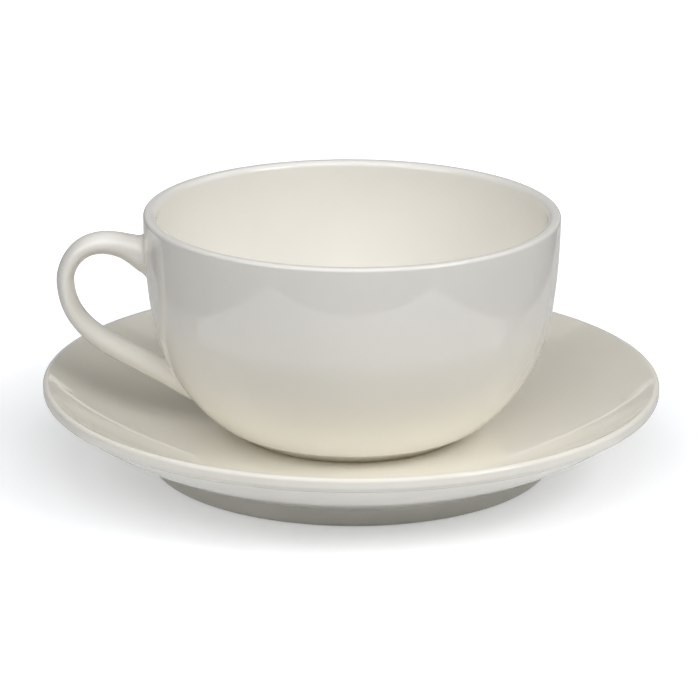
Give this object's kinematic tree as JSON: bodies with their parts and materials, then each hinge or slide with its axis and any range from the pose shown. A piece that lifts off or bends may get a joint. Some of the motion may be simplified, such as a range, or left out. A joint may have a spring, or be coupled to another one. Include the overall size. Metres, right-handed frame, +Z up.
{
  "type": "teacup and saucer",
  "caption": "Round ivory-glazed teacup with a loop handle, standing loose in the flat well of a matching dished saucer.",
  "frame": {"origin": "on the table, under the common axis of cup and saucer", "axes": "+Z up along the axis of the bowl; the handle points along -X; -Y is the side that the picture shows"},
  "size_m": [0.16, 0.16, 0.0666],
  "materials": {
    "saucer_glaze": "gloss ivory glaze, bare clay on the ground face of the foot ring",
    "cup_glaze": "gloss ivory glaze inside and out, bare clay on the ground face of the foot ring",
    "handle_glaze": "gloss ivory glaze, run on with the cup's"
  },
  "bodies": {
    "saucer": {"saucer": "saucer_glaze"},
    "cup": {"cup_bowl": "cup_glaze", "cup_handle": "handle_glaze"}
  },
  "joints": [
    {"name": "cup_lift", "type": "slide", "parent": "saucer", "child": "cup", "axis": [0, 0, 1], "range_m": [0, 0.06]}
  ]
}
